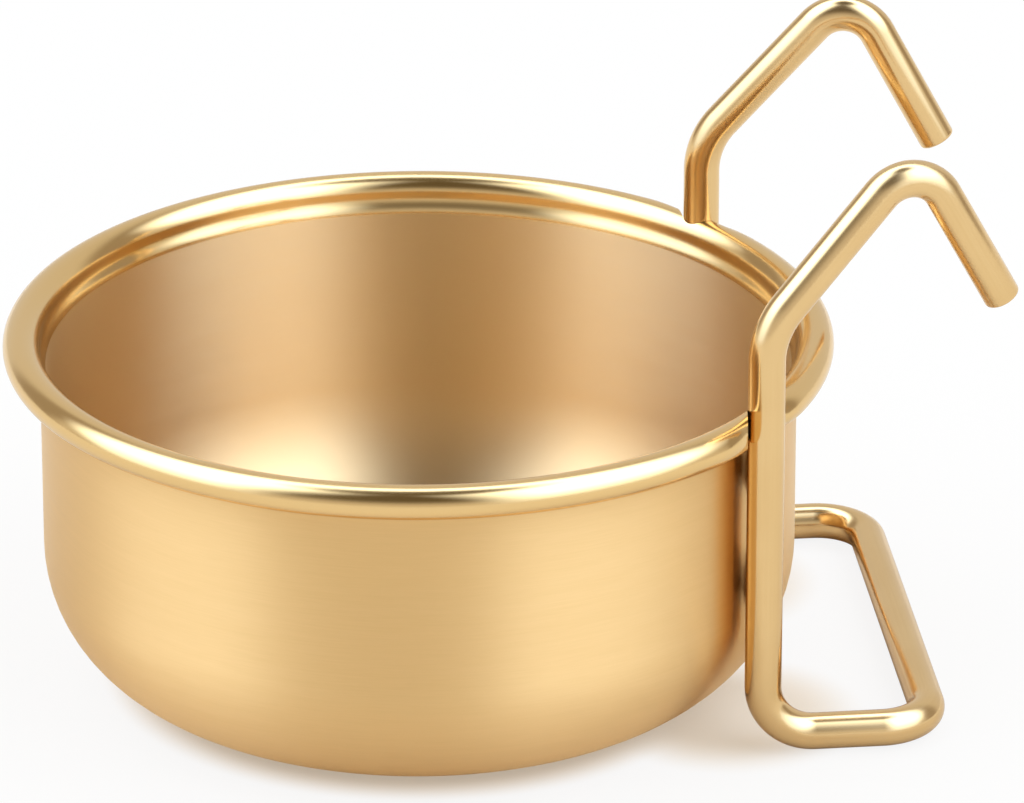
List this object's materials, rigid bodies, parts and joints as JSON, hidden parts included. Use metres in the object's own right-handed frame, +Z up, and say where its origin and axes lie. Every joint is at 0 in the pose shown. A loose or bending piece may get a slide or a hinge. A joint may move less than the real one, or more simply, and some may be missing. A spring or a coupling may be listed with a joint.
{
  "type": "hanging feeding bowl",
  "caption": "Round metal feeding bowl with a rolled rim, carried by a bent wire hanger that hooks over a cage rail and stands off below on a cross rail.",
  "frame": {"origin": "centre of the bowl's flat underside, on the bowl's axis", "axes": "+Z up along the bowl's axis, +Y back towards the wire hanger and the cage, X across the two hooks"},
  "size_m": [0.127, 0.1508, 0.0943],
  "materials": {
    "bowl_shell": "gold-toned sheet steel, satin brushed round the wall, brighter on the rolled rim",
    "hanger_wire": "gold-toned round wire, polished",
    "weld_bead": "gold-toned weld bead, dull"
  },
  "bodies": {
    "root": {"bowl": "bowl_shell", "hanger_wire": "hanger_wire", "upper_weld_left": "weld_bead", "upper_weld_right": "weld_bead", "lower_weld_left": "weld_bead", "lower_weld_right": "weld_bead"}
  },
  "joints": []
}
